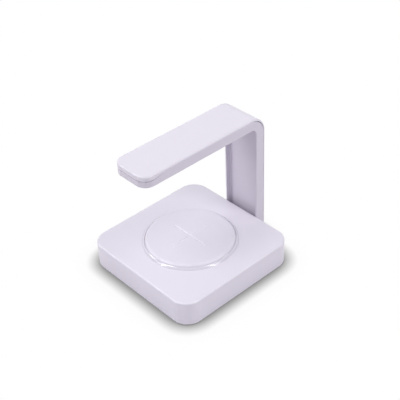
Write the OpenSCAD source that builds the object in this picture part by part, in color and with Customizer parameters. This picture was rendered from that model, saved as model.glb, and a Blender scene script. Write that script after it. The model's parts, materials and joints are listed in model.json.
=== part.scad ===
// Wireless charging base with a fixed lamp arm over its pad.
// The origin is the centre of the mat's underside, +Z is up and the arm stands at +Y.

/* [Base] */
// Width and depth of the square base
base_w = 100; // [94:1:112]
// Height of the base above its lower edge
base_h = 18.6; // [18:0.1:24]
// Radius of the base's corners seen from above
base_corner = 12.4; // [9:0.1:15]
// Radius of the base's upper edge
base_top_edge = 1.2; // [0.6:0.1:1.6]
// Radius of the base's lower edge
base_bottom_edge = 0.6; // [0.3:0.1:0.8]
// Side wall of the top cover
base_wall = 1.8; // [1.5:0.1:2.2]
// Roof of the top cover
base_roof = 2; // [1.6:0.1:2.4]
// Thickness of the bottom cover
floor_t = 2.4; // [2.2:0.1:3]
// Rim of the bottom cover round the mat
mat_border = 4; // [3:0.5:8]
// Radius of the mat's corners
mat_corner = 8; // [5:0.5:12]
// Thickness of the mat
mat_t = 1.2; // [1:0.1:1.5]
// Height that the mat stands out of the bottom cover
mat_proud = 0.6; // [0.4:0.1:0.8]

/* [Charging pad] */
// Outer radius of the raised pad
pad_r = 32; // [29:0.5:33]
// Height of the pad above the base
pad_rise = 3; // [2.6:0.1:4]
// Radius of the pad's upper edge
pad_edge = 2.5; // [1.5:0.1:2.6]
// Wall of the pad's cap
pad_wall = 1.3; // [1:0.1:1.5]
// Length of each stroke of the plus mark
mark_len = 33; // [20:1:40]
// Width of a stroke of the plus mark
mark_w = 1.6; // [1:0.1:2.4]
// Depth of the plus mark
mark_depth = 0.4; // [0.2:0.05:0.6]
// Width of the glossy ring at the pad's foot
ring_w = 1.7; // [1.2:0.1:2]
// Height of the ring above the base
ring_rise = 1.5; // [0.8:0.1:2]
// Radius of the ring's outer edge
ring_edge = 1.4; // [0.6:0.1:1.5]
// Width of the ring's flange under the cover
flange_w = 2.6; // [2:0.1:3]
// Thickness of the ring's flange
flange_t = 1.2; // [1:0.1:1.4]

/* [Charging coil] */
// Outer radius of the coil
coil_r = 25; // [22:0.5:26]
// Turns of the coil
coil_turns = 12; // [8:1:13]
// Thickness of the coil's wire
coil_wire = 1.3; // [1:0.1:1.5]
// Radius of the shield under the coil
ferrite_r = 27; // [26.5:0.5:27]
// Thickness of the shield
ferrite_t = 0.8; // [0.6:0.1:1]
// Sheet thickness of the coil carrier
carrier_t = 1.2; // [1:0.1:1.4]

/* [Arm] */
// Height of the arm's top above the table
overall_h = 101.7; // [90:0.1:115]
// Width of the arm and the column
arm_w = 31.2; // [29:0.1:34]
// Thickness of the arm and the column
arm_t = 8.4; // [8.2:0.1:9]
// Distance of the arm's tip behind the base's front
tip_inset = 2.6; // [0:0.1:8]
// Radius of the tip's corners seen from above
tip_corner = 7.9; // [5:0.1:10]
// Outer radius of the bend
bend_r = 12.6; // [11.5:0.1:15]
// Radius of the outer edges
arm_outer_edge = 1.2; // [0.8:0.05:1.25]
// Radius of the inner edges
arm_inner_edge = 0.5; // [0.3:0.05:0.55]
// Gap between the base and the column
column_gap = 0.2; // [0.1:0.05:0.5]
// Skin of the outer shell
shell_t = 1.3; // [1.2:0.05:1.5]
// Side wall of the inner frame
side_t = 1.2; // [1.1:0.05:1.5]
// Depth of the sunk channel
channel_depth = 3.9; // [3.4:0.1:4]
// Radius between the channel's floor and its walls
channel_fillet = 1.2; // [0.4:0.1:2]
// Floor of the channel
web_t = 1.2; // [1:0.05:1.3]
// Depth of the shell's nose at the tip
nose_depth = 3.8; // [3:0.1:4.5]
// Open seam under the nose
nose_reveal = 0.35; // [0.1:0.05:0.5]
// Length over which the nose's seam climbs to the side seam
nose_run = 12; // [6:1:20]
// Extra radius of the frame's outer corner, which opens the crescent in the bend
crescent = 0.8; // [0.6:0.1:5]
// Open seam between the shell and the frame along the column
column_seam = 0.2; // [0.05:0.01:0.3]

/* [Lamp] */
// Length of the lamp window
window_l = 66; // [60:1:70]
// Width of the lamp window
window_w = 22; // [20:0.5:23]
// Thickness of the lamp window
window_t = 1.2; // [0.8:0.1:1.5]
// Width of the ledge that the window rests on
window_ledge = 1.5; // [1:0.1:2]
// Width of the lamp board
uv_board_w = 24; // [23.5:0.5:25]
// Thickness of the lamp board
uv_board_t = 1; // [0.8:0.05:1]
// Distance between lamp diodes
led_pitch = 16; // [12:0.5:17]
// Width of a lamp diode
led_w = 3.5; // [2.8:0.1:5]
// Width of the flat cable
ribbon_w = 6; // [4:0.5:7]
// Thickness of the flat cable
ribbon_t = 0.7; // [0.5:0.05:0.8]

/* [Main board] */
// Width of the main board
board_w = 64; // [60:1:64]
// Depth of the main board
board_d = 37; // [34:0.5:38]
// Thickness of the main board
board_t = 1.2; // [1:0.1:1.6]
// Height of the board's posts
post_h = 3; // [2.8:0.1:3.4]

/* [Inlet and button] */
// Sideways distance of the inlet and the button from the middle
port_x = 27; // [25:0.5:28]
// Width of the inlet's metal shell
inlet_w = 8.9; // [8.9:0.1:9.2]
// Height of the inlet's metal shell
inlet_h = 3.3; // [3.2:0.1:3.4]
// Depth of the inlet
inlet_d = 7.3; // [6.8:0.1:8]
// Length of the button's face
button_l = 9; // [7:0.1:10]
// Height of the button's face
button_h = 4.4; // [4:0.1:4.8]
// Height that the button stands out of the wall
button_proud = 0.8; // [0.7:0.05:1.2]
// Travel of the button
button_travel = 0.6; // [0.3:0.05:0.6]
// Gap round the button
button_gap = 0.15; // [0.1:0.05:0.3]

/* [Hidden] */
$fn = 64;

// Colours
WHITE = [0.93, 0.92, 0.95];
SOFT_WHITE = [0.9, 0.89, 0.93];
GREY = [0.6, 0.6, 0.63];
STEEL = [0.7, 0.71, 0.73];
COPPER = [0.72, 0.42, 0.24];
DARK = [0.12, 0.12, 0.13];
BOARD_GREEN = [0.1, 0.32, 0.2];
LAMP_YELLOW = [0.93, 0.86, 0.5];

// Clearances
fit_gap = 0.15;
press_gap = 0.04;
slide_gap = 0.08;
screw_gap = 0.05;
root = 0.2;
past = 1;

// Levels and places of the base
base_z = mat_proud;
base_top = base_z + base_h;
half_w = base_w / 2;
inner_face = half_w - base_wall;
inner_w = base_w - 2 * base_wall;
inner_corner = base_corner - base_wall;
floor_top = base_z + floor_t;
floor_w = inner_w - 2 * fit_gap;
floor_corner = inner_corner - fit_gap;
mat_w = floor_w - 2 * mat_border - 2 * fit_gap;
roof_z = base_top - base_roof;
rim_t = 1.2;
rim_h = 2;
corner_post_inset = 11;
corner_post_xy = half_w - corner_post_inset;
corner_post_r = 3.5;
pilot_r = 1.1;
pilot_depth = 8;
wall_rib_t = 1.2;
wall_rib_d = 2.4;
wall_rib_xy = 20;

// Screws of the base
base_screw_r = 1.05;
base_screw_head_r = 2.2;
base_screw_head_h = 1;
base_screw_l = 9;

// Pad, ring and carrier
pad_top = base_top + pad_rise;
ring_in_r = pad_r + press_gap;
ring_out_r = ring_in_r + ring_w;
pad_hole_r = ring_out_r + press_gap;
ring_top = base_top + ring_rise;
ring_soft = min(ring_edge, ring_rise, ring_w - 0.1);
flange_r = ring_out_r + flange_w;
flange_z = roof_z - flange_t;
pad_bore_r = pad_r - pad_wall - 0.3;
pad_inside_z = pad_top - pad_wall;
coil_z = pad_inside_z - coil_wire;
coil_pitch = coil_wire * 0.94;
coil_inner_r = coil_r - coil_wire - (coil_turns - 1) * coil_pitch;
lead_r = 0.5;
lead_landing = 3;
ferrite_z = coil_z - ferrite_t;
carrier_r = pad_bore_r - fit_gap;
carrier_flange_z = flange_z - carrier_t;
carrier_hole_r = 6;
carrier_post_r = 1.6;
carrier_post_ring = flange_r - carrier_post_r;
carrier_post_angles = [8, 172, 225, 315];

// Main board
board_corner = 2;
board_z = floor_top + post_h;
board_top = board_z + board_t;
board_rear_gap = 2.7;
board_rear = inner_face - board_rear_gap;
board_front = board_rear - board_d;
post_inset = 4;
post_rear_inset = 9;
post_x = board_w / 2 - post_inset;
post_rear_y = board_rear - post_rear_inset;
post_front_y = board_front + post_inset;
post_r = 2.4;
board_screw_r = 0.95;
board_screw_head_r = 1.9;
board_screw_head_h = 1.1;
board_screw_l = 4;
chip_w = 7;
chip_h = 0.9;
chip_inset = 12;
chip_y = board_front + chip_inset;
inductor_w = 10;
inductor_h = 4;
inductor_x = 17;
capacitor_l = 5;
capacitor_w = 3.2;
capacitor_h = 2.4;
capacitor_pitch = 4.6;
capacitor_x = -18;

// Inlet
inlet_z = board_top + inlet_h / 2;
inlet_sheet = 0.3;
inlet_recess = 0.6;
inlet_mouth_y = half_w - inlet_recess;
tongue_w = 6.7;
tongue_t = 0.7;
plug_recess_w = 12.8;
plug_recess_h = 7;

// Button and switch
button_rise = 2.4;
button_z = board_top + button_rise;
button_flange = 1;
button_flange_t = 1.2;
button_rest_gap = 0.1;
button_back_y = inner_face - button_rest_gap - button_flange_t;
button_stem_r = 1.5;
switch_w = 6;
switch_h = 4.2;
switch_d = 3.5;
switch_inset = 1;
switch_face_y = board_rear - switch_inset;
plunger_r = 1.3;
plunger_out = 1.2;
plunger_in = 1.8;

// Arm
foot_z = base_z;
front_y = half_w + column_gap;
back_y = front_y + arm_t;
tip_y = -half_w + tip_inset;
arm_top_z = overall_h;
tip_centre_x = arm_w / 2 - tip_corner;
tip_centre_y = tip_y + tip_corner;
beam_l = back_y - bend_r - tip_centre_y;
bend_y = tip_centre_y + beam_l;
bend_z = arm_top_z - bend_r;
channel_w = arm_w - 2 * side_t;
channel_top = arm_t - channel_depth;
web_top = channel_top - web_t;
web_front_y = back_y - channel_top;
web_back_y = back_y - web_top;
rail_t = 1;
rail_d = 1.5;
rail_end = 3;
rail_x = channel_w / 2 - fit_gap - rail_t;

// Fixing of the arm
block_h = 9.4;
block_z = foot_z + web_t + fit_gap;
arm_screw_x = 8.8;
arm_screw_rise = 5.6;
arm_screw_z = block_z + arm_screw_rise;
arm_screw_r = 1.4;
arm_screw_head_r = 2.5;
arm_screw_head_h = 1.7;
plate_t = 1.4;
plate_w = 25;
plate_h = 12;
plate_slot_drop = 2;

// Lamp
lamp_y = 0;
window_corner = 2.5;
window_rim = 1;
board_over = 3;
uv_board_l = window_l + 2 * board_over;
uv_board_top = web_top - uv_board_t;
led_h = 1;
ribbon_top = uv_board_top - ribbon_t;
ribbon_turn = 0.7;
plug_lift = 0.6;
plug_h = 2.2;
ribbon_z = board_top + plug_lift + (plug_h - ribbon_t) / 2;
ribbon_slot_w = ribbon_w + 1.6;
ribbon_slot_h = ribbon_t + 2;
ribbon_overlap = 5;
socket_w = ribbon_w + 4.4;
socket_d = 5;
socket_h = 4.6;
plug_w = ribbon_w + 2;
plug_d = 5;
plug_y = board_rear - 3;

// Rounded square or rectangle, exact arcs
module soft_square(w, d, r) {
    square([w, d - 2 * r], center = true);
    square([w - 2 * r, d], center = true);
    for (sx = [-1, 1], sy = [-1, 1])
        translate([sx * (w / 2 - r), sy * (d / 2 - r)]) circle(r);
}

// Slot outline with round ends
module pill(l, h) {
    square([l - h, h], center = true);
    for (side = [-1, 1]) translate([side * (l - h) / 2, 0]) circle(h / 2);
}

// Half section of a solid of radius r with soft upper and lower outer edges
module soft_half(r, h, top_edge, bottom_edge) {
    translate([0, bottom_edge]) square([r, h - top_edge - bottom_edge]);
    square([r - bottom_edge, h - top_edge]);
    translate([0, bottom_edge]) square([r - top_edge, h - bottom_edge]);
    intersection() {
        union() {
            translate([r - top_edge, h - top_edge]) circle(top_edge);
            translate([r - bottom_edge, bottom_edge]) circle(bottom_edge);
        }
        square([r, h]);
    }
}

// Square block with round corners and soft upper and lower edges
module soft_block(w, h, corner, top_edge, bottom_edge) {
    run = w - 2 * corner;
    for (sx = [-1, 1], sy = [-1, 1])
        translate([sx * run / 2, sy * run / 2, 0])
            rotate_extrude() soft_half(corner, h, top_edge, bottom_edge);
    for (turn = [0, 90])
        rotate([90, 0, turn]) linear_extrude(run, center = true)
            for (side = [0, 1])
                mirror([side, 0]) soft_half(w / 2, h, top_edge, bottom_edge);
}

// Outline drawn in X and Z, cut or raised along Y from y0 to y1
module through_y(y0, y1) {
    translate([0, y1, 0]) rotate([90, 0, 0]) linear_extrude(y1 - y0) children();
}

// Base

module base_posts(r, h) {
    for (sx = [-1, 1], sy = [-1, 1])
        translate([sx * corner_post_xy, sy * corner_post_xy, 0]) cylinder(r = r, h = h);
}

module wall_ribs() {
    rib_z = floor_top + rim_h + fit_gap;
    for (turn = [90, 180, 270], side = [-1, 1])
        rotate(turn) translate([side * wall_rib_xy - wall_rib_t / 2, inner_face - wall_rib_d, rib_z])
            cube([wall_rib_t, wall_rib_d + root, roof_z - rib_z + root]);
}

module rear_openings() {
    y0 = inner_face - past;
    through_y(y0, half_w + past) {
        translate([-port_x, inlet_z]) pill(inlet_w + 2 * fit_gap, inlet_h + 2 * fit_gap);
        translate([port_x, button_z]) pill(button_l + 2 * button_gap, button_h + 2 * button_gap);
        translate([0, ribbon_z + ribbon_t / 2]) square([ribbon_slot_w, ribbon_slot_h], center = true);
        arm_screw_places() circle(arm_screw_r + fit_gap);
    }
    through_y(inlet_mouth_y, half_w + past)
        translate([-port_x, inlet_z]) pill(plug_recess_w, plug_recess_h);
}

module base_top_cover() {
    color(WHITE) difference() {
        union() {
            difference() {
                translate([0, 0, base_z])
                    soft_block(base_w, base_h, base_corner, base_top_edge, base_bottom_edge);
                translate([0, 0, base_z - past])
                    soft_block(inner_w, base_h - base_roof + past, inner_corner, 0.6, 0.1);
            }
            translate([0, 0, floor_top]) base_posts(corner_post_r, roof_z - floor_top + root);
            wall_ribs();
        }
        translate([0, 0, roof_z - past]) cylinder(r = pad_hole_r, h = base_roof + 2 * past);
        translate([0, 0, floor_top - past]) base_posts(pilot_r, pilot_depth + past);
        rear_openings();
    }
}

module base_bottom_cover() {
    mat_seat = mat_t - mat_proud;
    color(WHITE) difference() {
        union() {
            translate([0, 0, base_z]) linear_extrude(floor_t) soft_square(floor_w, floor_w, floor_corner);
            translate([0, 0, floor_top]) linear_extrude(rim_h) difference() {
                soft_square(floor_w, floor_w, floor_corner);
                soft_square(floor_w - 2 * rim_t, floor_w - 2 * rim_t, floor_corner - rim_t);
            }
            for (a = carrier_post_angles)
                rotate(a) translate([carrier_post_ring, 0, base_z + floor_t / 2])
                    cylinder(r = carrier_post_r, h = carrier_flange_z - base_z - floor_t / 2);
            board_post_places() translate([0, 0, base_z + floor_t / 2])
                cylinder(r = post_r, h = floor_t / 2 + post_h);
        }
        translate([0, 0, base_z - past]) linear_extrude(mat_seat + past)
            soft_square(mat_w + 2 * fit_gap, mat_w + 2 * fit_gap, mat_corner + fit_gap);
        translate([0, 0, base_z]) base_posts(base_screw_r + fit_gap, floor_t + past);
        translate([0, 0, base_z]) base_posts(base_screw_head_r + fit_gap, mat_seat + base_screw_head_h);
        board_post_places() translate([0, 0, floor_top]) cylinder(r = board_screw_r + screw_gap, h = post_h + past);
    }
}

module anti_slip_mat() {
    color(GREY) linear_extrude(mat_t) soft_square(mat_w, mat_w, mat_corner);
}

module base_screws() {
    head_z = mat_t;
    color(STEEL) for (sx = [-1, 1], sy = [-1, 1])
        translate([sx * corner_post_xy, sy * corner_post_xy, head_z]) difference() {
            union() {
                cylinder(r = base_screw_head_r, h = base_screw_head_h);
                cylinder(r = base_screw_r, h = base_screw_l);
            }
            cross_recess(base_screw_head_r * 0.7, base_screw_head_h * 0.6);
        }
}

// Cross recess in a screw head that faces down
module cross_recess(l, depth) {
    for (turn = [0, 90])
        rotate(turn) translate([-l, -l / 6, -past]) cube([2 * l, l / 3, depth + past]);
}

// Charging pad

module plus_mark() {
    groove_r = (mark_w * mark_w / 4 + mark_depth * mark_depth) / (2 * mark_depth);
    run = mark_len - mark_w;
    for (turn = [0, 90])
        translate([0, 0, pad_top - mark_depth + groove_r]) rotate([0, 90, turn]) {
            cylinder(r = groove_r, h = run, center = true);
            for (side = [-1, 1]) translate([0, 0, side * run / 2]) sphere(groove_r);
        }
}

module charging_pad() {
    color(SOFT_WHITE) difference() {
        translate([0, 0, flange_z]) rotate_extrude() soft_half(pad_r, pad_top - flange_z, pad_edge, 0.2);
        translate([0, 0, flange_z - past]) cylinder(r = pad_bore_r, h = pad_inside_z - flange_z + past);
        plus_mark();
    }
}

module pad_ring() {
    color(WHITE) rotate_extrude() {
        translate([ring_in_r, flange_z]) square([ring_w, ring_top - ring_soft - flange_z]);
        translate([ring_in_r, flange_z]) square([ring_w - ring_soft, ring_top - flange_z]);
        intersection() {
            translate([ring_out_r - ring_soft, ring_top - ring_soft]) circle(ring_soft);
            translate([ring_in_r, flange_z]) square([ring_w, ring_top - flange_z]);
        }
        translate([ring_in_r, flange_z]) square([ring_w + flange_w, flange_t]);
    }
}

module coil_carrier() {
    plateau_z = ferrite_z - carrier_t;
    color(SOFT_WHITE) difference() {
        union() {
            translate([0, 0, plateau_z]) cylinder(r = carrier_r, h = carrier_t);
            translate([0, 0, carrier_flange_z]) difference() {
                cylinder(r = carrier_r, h = plateau_z - carrier_flange_z + root);
                translate([0, 0, -past])
                    cylinder(r = carrier_r - carrier_t, h = plateau_z - carrier_flange_z + 2 * past);
            }
            translate([0, 0, carrier_flange_z]) difference() {
                cylinder(r = flange_r, h = carrier_t);
                translate([0, 0, -past]) cylinder(r = carrier_r - carrier_t, h = carrier_t + 2 * past);
            }
        }
        translate([0, 0, plateau_z - past]) cylinder(r = carrier_hole_r, h = carrier_t + 2 * past);
    }
}

module ferrite_sheet() {
    color(DARK) translate([0, 0, ferrite_z]) difference() {
        cylinder(r = ferrite_r, h = ferrite_t);
        translate([0, 0, -past]) cylinder(r = carrier_hole_r, h = ferrite_t + 2 * past);
    }
}

// Flat winding: each turn is pressed a little into the next
module charging_coil() {
    color(COPPER) translate([0, 0, coil_z + coil_wire / 2]) rotate_extrude()
        for (turn = [0 : coil_turns - 1])
            translate([coil_r - coil_wire / 2 - turn * coil_pitch, 0]) circle(coil_wire / 2);
}

// Each lead leaves the inner turn, drops through the hole in the shield and lies on the board
module coil_leads() {
    x = carrier_hole_r - 2;
    top_z = coil_z + coil_wire / 2;
    low_z = board_top + lead_r;
    color(COPPER) for (side = [-1, 1]) translate([side * x, 0, 0]) {
        translate([0, 0, top_z]) rotate([0, side * 90, 0]) cylinder(r = lead_r, h = coil_inner_r - x);
        translate([0, 0, top_z]) sphere(lead_r);
        translate([0, 0, low_z]) cylinder(r = lead_r, h = top_z - low_z);
        translate([0, 0, low_z]) sphere(lead_r);
        translate([0, 0, low_z]) rotate([-90, 0, 0]) cylinder(r = lead_r, h = board_front + lead_landing);
    }
}

// Main board

module board_post_places() {
    for (side = [-1, 1], y = [post_front_y, post_rear_y])
        translate([side * post_x, y, 0]) children();
}

module main_board() {
    color(BOARD_GREEN) difference() {
        translate([0, board_front + board_d / 2, board_z]) linear_extrude(board_t)
            soft_square(board_w, board_d, board_corner);
        board_post_places() translate([0, 0, board_z - past])
            cylinder(r = board_screw_r + screw_gap, h = board_t + 2 * past);
    }
}

module board_screws() {
    color(STEEL) board_post_places() translate([0, 0, board_top]) difference() {
        union() {
            cylinder(r = board_screw_head_r, h = board_screw_head_h);
            translate([0, 0, -board_screw_l]) cylinder(r = board_screw_r, h = board_screw_l);
        }
        translate([0, 0, board_screw_head_h]) mirror([0, 0, 1]) cross_recess(board_screw_head_r * 0.7, board_screw_head_h * 0.5);
    }
}

module on_board(x, y, w, d, h) {
    translate([x - w / 2, y - d / 2, board_top]) cube([w, d, h]);
}

module control_chip() {
    color(DARK) on_board(0, chip_y, chip_w, chip_w, chip_h);
}

module power_inductor() {
    color(GREY) difference() {
        on_board(inductor_x, chip_y, inductor_w, inductor_w, inductor_h);
        translate([inductor_x, chip_y, board_top + inductor_h - 0.4]) cylinder(r = inductor_w * 0.35, h = past);
    }
}

module tuning_capacitor(index) {
    color(LAMP_YELLOW)
        on_board(capacitor_x, chip_y + (index - 2.5) * capacitor_pitch, capacitor_l, capacitor_w, capacitor_h);
}

// Inlet

module usb_inlet_shell() {
    rear_y = inlet_mouth_y - inlet_d;
    color(STEEL) translate([-port_x, 0, inlet_z]) difference() {
        through_y(rear_y, inlet_mouth_y) pill(inlet_w, inlet_h);
        through_y(rear_y + inlet_sheet, inlet_mouth_y + past)
            pill(inlet_w - 2 * inlet_sheet, inlet_h - 2 * inlet_sheet);
    }
}

module usb_inlet_tongue() {
    back_y = inlet_mouth_y - inlet_d + inlet_sheet;
    color(DARK) translate([-port_x, 0, inlet_z]) {
        through_y(back_y, inlet_mouth_y - 0.8) square([tongue_w, tongue_t], center = true);
        through_y(back_y, back_y + 1.4)
            pill(inlet_w - 2 * inlet_sheet, inlet_h - 2 * inlet_sheet);
    }
}

// Button and switch

module power_button() {
    color(WHITE) translate([port_x, 0, button_z]) {
        through_y(button_back_y, half_w + button_proud - 0.3) pill(button_l, button_h);
        through_y(button_back_y, half_w + button_proud) pill(button_l - 0.6, button_h - 0.6);
        through_y(button_back_y, button_back_y + button_flange_t)
            pill(button_l + 2 * button_flange, button_h + 2 * button_flange);
        through_y(switch_face_y + plunger_out, button_back_y + root) circle(button_stem_r);
    }
}

module switch_plunger() {
    color(DARK) translate([port_x, 0, button_z])
        through_y(switch_face_y - plunger_in, switch_face_y + plunger_out) circle(plunger_r);
}

module tact_switch() {
    color(GREY) difference() {
        on_board(port_x, switch_face_y - switch_d / 2, switch_w, switch_d, switch_h);
        translate([port_x, 0, button_z])
            through_y(switch_face_y - plunger_in - button_travel - fit_gap, switch_face_y + past)
                circle(plunger_r + slide_gap);
    }
}

// Arm

// Sweeps a section along the column, round the bend, along the arm and round the tip.
// The section is drawn with X across the arm and Y as the depth below the outer face.
module arm_sweep(foot) {
    translate([0, back_y, bend_z]) mirror([0, 0, 1]) linear_extrude(bend_z - foot) mirror([0, 1]) children();
    translate([0, bend_y, bend_z]) rotate([90, 0, 90])
        rotate_extrude(angle = 90) translate([bend_r, 0]) rotate(90) children();
    translate([0, tip_centre_y, arm_top_z]) rotate([-90, 0, 0]) linear_extrude(beam_l) children();
    for (side = [0, 1])
        mirror([side, 0, 0]) translate([tip_centre_x, tip_centre_y, arm_top_z])
            rotate(-90) rotate_extrude(angle = 90) tip_half() children();
    translate([tip_centre_x, tip_centre_y, arm_top_z]) rotate([90, 0, -90])
        linear_extrude(2 * tip_centre_x) tip_half() children();
}

// Right part of a section, measured from the centre of the tip's corner
module tip_half() {
    intersection() {
        translate([-tip_centre_x, 0]) mirror([0, 1]) children();
        translate([0, -3 * arm_t]) square([arm_w, 6 * arm_t]);
    }
}

// Section with soft corners, from depth d0 to d1
module arm_section(w, d0, d1, r0, r1) {
    translate([-w / 2, d0 + r0]) square([w, d1 - d0 - r0 - r1]);
    translate([-w / 2 + r0, d0]) square([w - 2 * r0, d1 - d0 - r1]);
    translate([-w / 2 + r1, d0 + r0]) square([w - 2 * r1, d1 - d0 - r0]);
    for (side = [-1, 1]) {
        if (r0 > 0) translate([side * (w / 2 - r0), d0 + r0]) circle(r0);
        if (r1 > 0) translate([side * (w / 2 - r1), d1 - r1]) circle(r1);
    }
}

module arm_envelope() {
    arm_sweep(foot_z) arm_section(arm_w, 0, arm_t, arm_outer_edge, arm_inner_edge);
}

// Side view of all that lies deeper than the shell's skin, with radius r at the bend and a seam at the column
module inner_side_view(r, seam) {
    low_y = tip_y - past;
    low_z = foot_z - past;
    skin_y = back_y - shell_t - seam;
    skin_z = arm_top_z - shell_t;
    translate([low_y, low_z]) square([skin_y - r - low_y, skin_z - low_z]);
    translate([low_y, low_z]) square([skin_y - low_y, skin_z - r - low_z]);
    translate([skin_y - r, skin_z - r]) circle(r);
}

// Side view of the shell's nose at the tip
module nose_side_view(depth) {
    skin_z = arm_top_z - shell_t;
    polygon([
        [tip_y - 2 * past, skin_z],
        [tip_y - 2 * past, arm_top_z - depth],
        [tip_centre_y, arm_top_z - depth],
        [tip_centre_y + nose_run, skin_z]
    ]);
}

// Side view spread across the whole width
module across() {
    rotate([90, 0, 90]) linear_extrude(arm_w + 2 * past, center = true) children();
}

module arm_outer_shell() {
    color(WHITE) {
        difference() {
            arm_envelope();
            across() difference() {
                inner_side_view(bend_r - shell_t, 0);
                nose_side_view(nose_depth - nose_reveal);
            }
            arm_sweep(foot_z - past) arm_section(channel_w, shell_t, arm_t + past, 0, 0);
        }
        shell_rails();
    }
}

// Rails that seat the shell between the frame's side walls
module shell_rails() {
    for (side = [0, 1]) mirror([side, 0, 0]) {
        translate([rail_x, back_y - shell_t - rail_d, foot_z + rail_end])
            cube([rail_t, rail_d + root, bend_z - foot_z - 2 * rail_end]);
        translate([rail_x, tip_centre_y, arm_top_z - shell_t - rail_d])
            cube([rail_t, beam_l - rail_end, rail_d + root]);
    }
}

module window_outline(extra) {
    soft_square(window_w + 2 * extra, window_l + 2 * extra, window_corner + extra);
}

module arm_inner_frame() {
    window_z = arm_top_z - channel_top;
    color(WHITE) difference() {
        union() {
            difference() {
                intersection() {
                    arm_envelope();
                    across() difference() {
                        inner_side_view(bend_r - shell_t + crescent, column_seam);
                        nose_side_view(nose_depth);
                    }
                }
                arm_sweep(foot_z + web_t)
                    arm_section(channel_w, channel_top, arm_t + past, channel_fillet, 0);
                arm_sweep(foot_z + web_t) arm_section(channel_w, -past, web_top, 0, 0);
            }
            translate([0, lamp_y, window_z - window_t]) linear_extrude(window_t + root) difference() {
                window_outline(fit_gap + window_rim);
                window_outline(fit_gap);
            }
        }
        translate([0, lamp_y, window_z - past]) linear_extrude(web_t + 2 * past)
            window_outline(-window_ledge);
        through_y(web_front_y - past, web_back_y + past) {
            arm_screw_places() circle(arm_screw_r + fit_gap);
            translate([0, ribbon_z + ribbon_t / 2]) square([ribbon_slot_w, ribbon_slot_h], center = true);
        }
    }
}

// Fixing of the arm

module arm_screw_places() {
    for (side = [-1, 1]) translate([side * arm_screw_x, arm_screw_z]) children();
}

module arm_mount_block() {
    w = channel_w - 2 * channel_fillet;
    color(WHITE) through_y(half_w, web_front_y) difference() {
        translate([-w / 2, block_z]) square([w, block_h]);
        arm_screw_places() circle(arm_screw_r + fit_gap);
        translate([0, ribbon_z + ribbon_t / 2]) square([ribbon_slot_w, ribbon_slot_h], center = true);
    }
}

module arm_nut_plate() {
    slot_z = ribbon_z - plate_slot_drop;
    color(STEEL) through_y(web_back_y, web_back_y + plate_t) difference() {
        translate([-plate_w / 2, block_z]) square([plate_w, plate_h]);
        arm_screw_places() circle(arm_screw_r + screw_gap);
        translate([-ribbon_slot_w / 2, slot_z]) square([ribbon_slot_w, plate_h]);
    }
}

module arm_screws() {
    tip = web_back_y + plate_t;
    color(STEEL) for (side = [-1, 1]) translate([side * arm_screw_x, 0, arm_screw_z]) difference() {
        union() {
            through_y(inner_face - arm_screw_head_h, inner_face) circle(arm_screw_head_r);
            through_y(inner_face - root, tip) circle(arm_screw_r);
        }
        translate([0, inner_face - arm_screw_head_h, 0]) rotate([-90, 0, 0]) cross_recess(arm_screw_head_r * 0.7, arm_screw_head_h * 0.5);
    }
}

// Lamp

module lamp_ribbon() {
    turn_z = ribbon_z + ribbon_t + ribbon_turn;
    near_y = back_y - ribbon_top - ribbon_t;
    end_y = lamp_y + uv_board_l / 2 - ribbon_overlap;
    color(SOFT_WHITE) {
        translate([-ribbon_w / 2, near_y, turn_z]) cube([ribbon_w, ribbon_t, bend_z - turn_z]);
        translate([0, bend_y, bend_z]) rotate([90, 0, 90]) rotate_extrude(angle = 90)
            translate([bend_r - ribbon_top - ribbon_t, -ribbon_w / 2]) square([ribbon_t, ribbon_w]);
        translate([-ribbon_w / 2, end_y, arm_top_z - ribbon_top - ribbon_t])
            cube([ribbon_w, bend_y - end_y, ribbon_t]);
        translate([0, near_y - ribbon_turn, turn_z]) rotate([90, 0, 90])
            rotate_extrude(angle = 90, start = -90)
                translate([ribbon_turn, -ribbon_w / 2]) square([ribbon_t, ribbon_w]);
        translate([-ribbon_w / 2, plug_y, ribbon_z]) cube([ribbon_w, near_y - ribbon_turn - plug_y, ribbon_t]);
    }
}

module lamp_plug() {
    color(SOFT_WHITE) translate([-plug_w / 2, plug_y - plug_d, ribbon_z + ribbon_t / 2 - plug_h / 2])
        cube([plug_w, plug_d, plug_h]);
}

module lamp_socket() {
    plug_z = ribbon_z + ribbon_t / 2 - plug_h / 2;
    color(WHITE) difference() {
        on_board(0, plug_y - plug_d + socket_d / 2 - 1, socket_w, socket_d, socket_h);
        translate([-plug_w / 2 - fit_gap, plug_y - plug_d, plug_z - fit_gap])
            cube([plug_w + 2 * fit_gap, plug_d + past, plug_h + 2 * fit_gap]);
    }
}

module uv_board() {
    color(WHITE) translate([0, lamp_y, arm_top_z - web_top]) linear_extrude(uv_board_t)
        soft_square(uv_board_w, uv_board_l, 1);
}

module uv_led(index) {
    led_z = arm_top_z - web_top - led_h;
    color(LAMP_YELLOW) translate([0, lamp_y + (index - 2.5) * led_pitch, led_z]) difference() {
        translate([-led_w / 2, -led_w / 2, 0]) cube([led_w, led_w, led_h]);
        translate([0, 0, -past]) cylinder(r1 = led_w * 0.34 + past, r2 = led_w * 0.34 - 0.4, h = past + 0.4);
    }
}

module lamp_window() {
    color([0.75, 0.85, 0.95, 0.4]) translate([0, lamp_y, arm_top_z - channel_top - window_t])
        linear_extrude(window_t) window_outline(0);
}

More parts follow.
